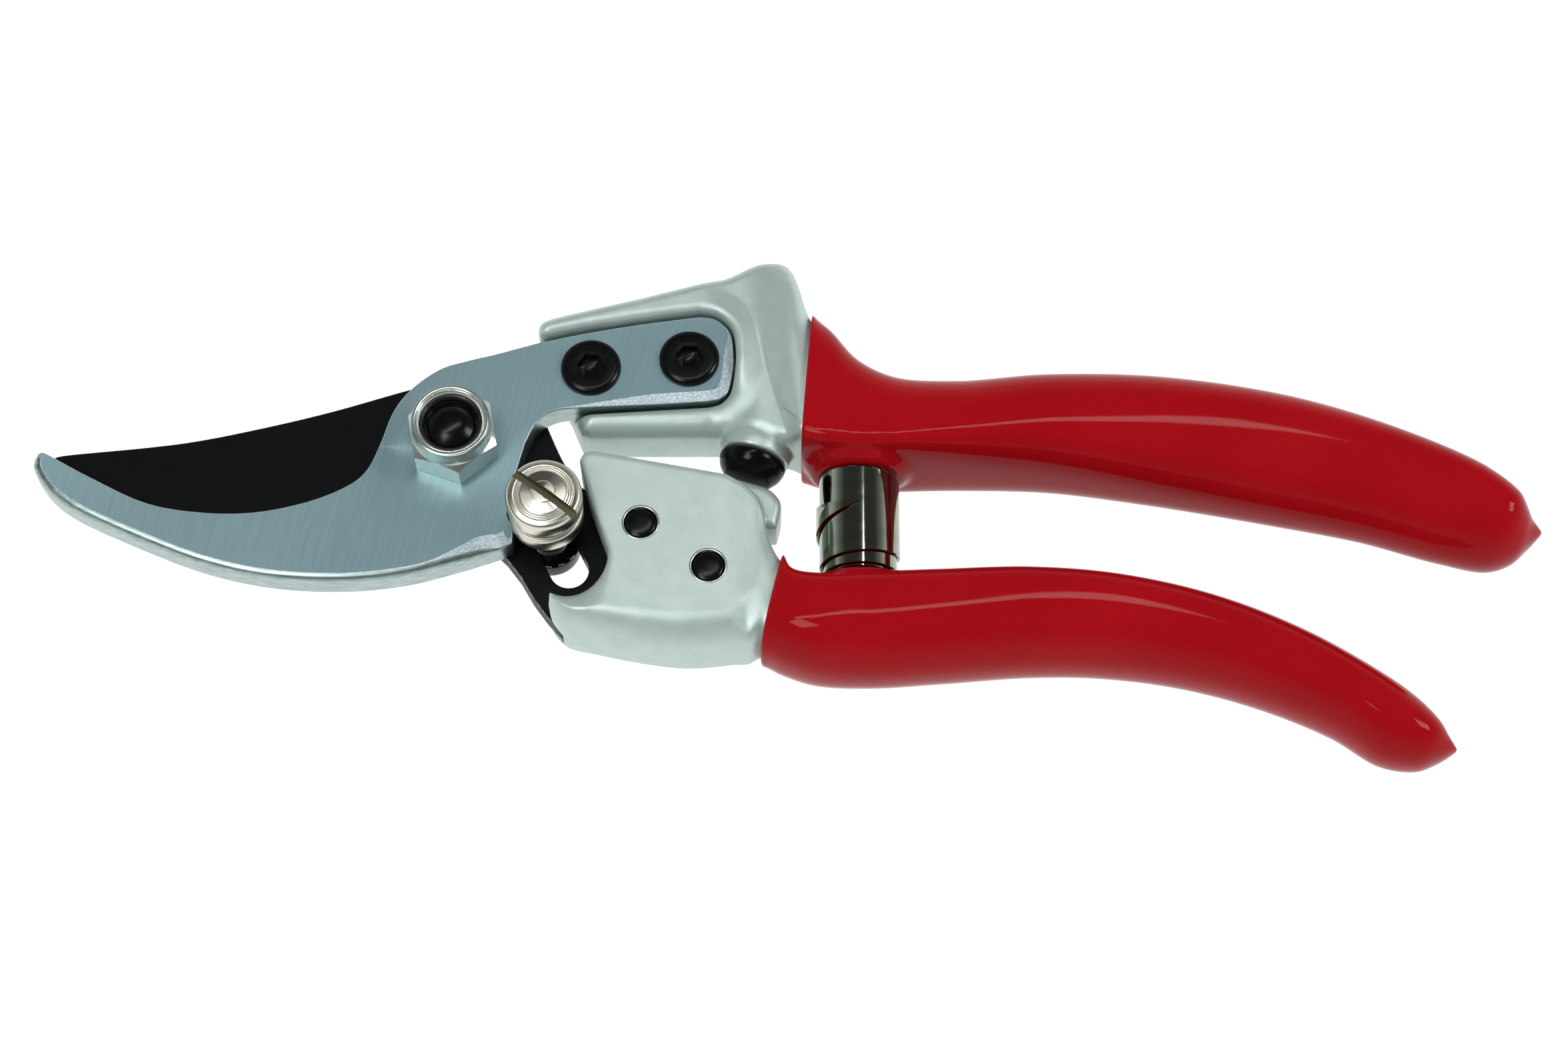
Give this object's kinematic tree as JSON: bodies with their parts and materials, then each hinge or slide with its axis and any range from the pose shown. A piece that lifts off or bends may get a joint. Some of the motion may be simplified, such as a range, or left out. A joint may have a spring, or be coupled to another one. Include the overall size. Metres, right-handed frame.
{
  "type": "bypass pruner",
  "caption": "One-hand bypass pruner with a curved hook blade, a coated cutting blade, forged alloy handles with red dipped grips, a volute spring and a sliding thumb catch.",
  "frame": {"origin": "on the pivot axis, at the flat face of the pivot bolt's head, in the plane that the closed tool rests on", "axes": "+X from the pivot towards the handle ends, +Z along the pivot bolt towards its nut, +Y towards the hook side's handle"},
  "size_m": [0.2112, 0.0755, 0.0223],
  "materials": {
    "alloy": "satin, shot-blasted casting",
    "red_vinyl": "glossy dipped vinyl",
    "brushed_steel": "ground and brushed",
    "black_coat": "satin non-stick coating",
    "black_oxide": "black oxide",
    "zinc_plate": "bright zinc plate",
    "nickel": "turned, nickel plated",
    "black_nylon": "nylon",
    "black_rubber": "semi-gloss rubber",
    "spring_steel": "dark bright strip"
  },
  "bodies": {
    "hook_side": {"upper_handle": "alloy", "upper_grip": "red_vinyl", "hook_blade": "brushed_steel", "hook_screw_front": "black_oxide", "hook_screw_rear": "black_oxide", "pivot_bolt": "black_oxide", "pivot_washer": "zinc_plate", "pivot_bush": "nickel", "pivot_nut": "zinc_plate", "nut_insert": "black_nylon", "stop_buffer": "black_rubber", "volute_spring": "spring_steel"},
    "blade_side": {"lower_handle": "alloy", "lower_grip": "red_vinyl", "cutting_blade": "black_coat", "rivet_front": "black_oxide", "rivet_rear": "black_oxide"},
    "thumb_catch": {"catch_knob": "nickel", "catch_sleeve": "black_oxide", "catch_washer": "black_oxide", "catch_nut": "black_oxide"}
  },
  "joints": [
    {"name": "pivot", "type": "hinge", "parent": "hook_side", "child": "blade_side", "pos_m": [0, 0, 0], "axis": [0, 0, -1], "range_deg": [0, 28], "deforming": ["volute_spring"]},
    {"name": "catch_slide", "type": "slide", "parent": "blade_side", "child": "thumb_catch", "axis": [0.4413, -0.8973, 0], "range_m": [0, 0.0067]}
  ],
  "couplings": [
    {"joint": "catch_slide", "follows": "pivot", "m_per_rad": 0.0136}
  ]
}
